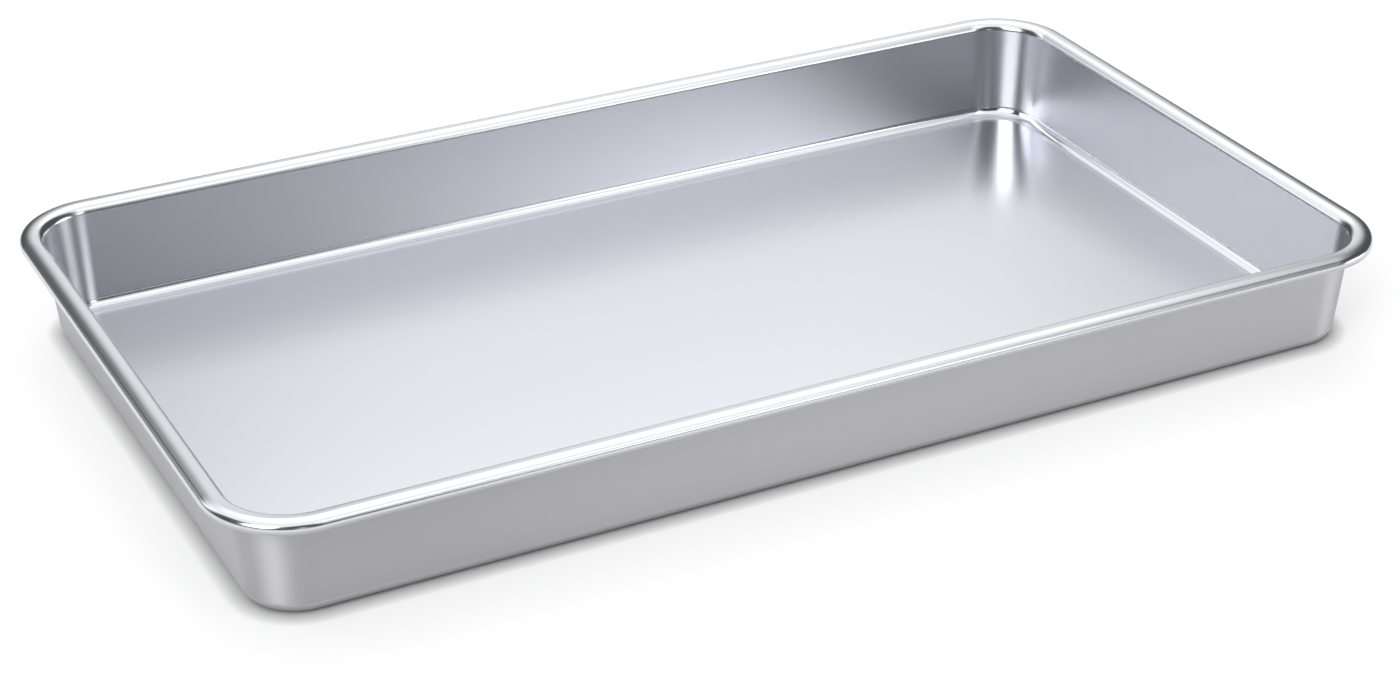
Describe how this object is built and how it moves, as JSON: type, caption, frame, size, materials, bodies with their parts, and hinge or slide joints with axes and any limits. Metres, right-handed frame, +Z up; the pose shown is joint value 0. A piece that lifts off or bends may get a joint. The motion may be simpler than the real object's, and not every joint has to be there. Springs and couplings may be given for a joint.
{
  "type": "jelly roll pan",
  "caption": "Shallow rectangular aluminium baking pan with leaning walls, rounded corners, a flat floor and a rolled rim closed round a steel reinforcing wire.",
  "frame": {"origin": "middle of the pan's underside, on the surface that the pan stands on", "axes": "+X along a long side, +Y along a short side towards the back, +Z up out of the pan"},
  "size_m": [0.394, 0.23, 0.036],
  "materials": {
    "pan_sheet": "satin, brighter on the rolled rim",
    "rim_wire": "galvanised steel wire"
  },
  "bodies": {
    "root": {"pan_body": "pan_sheet", "rim_wire": "rim_wire"}
  },
  "joints": []
}
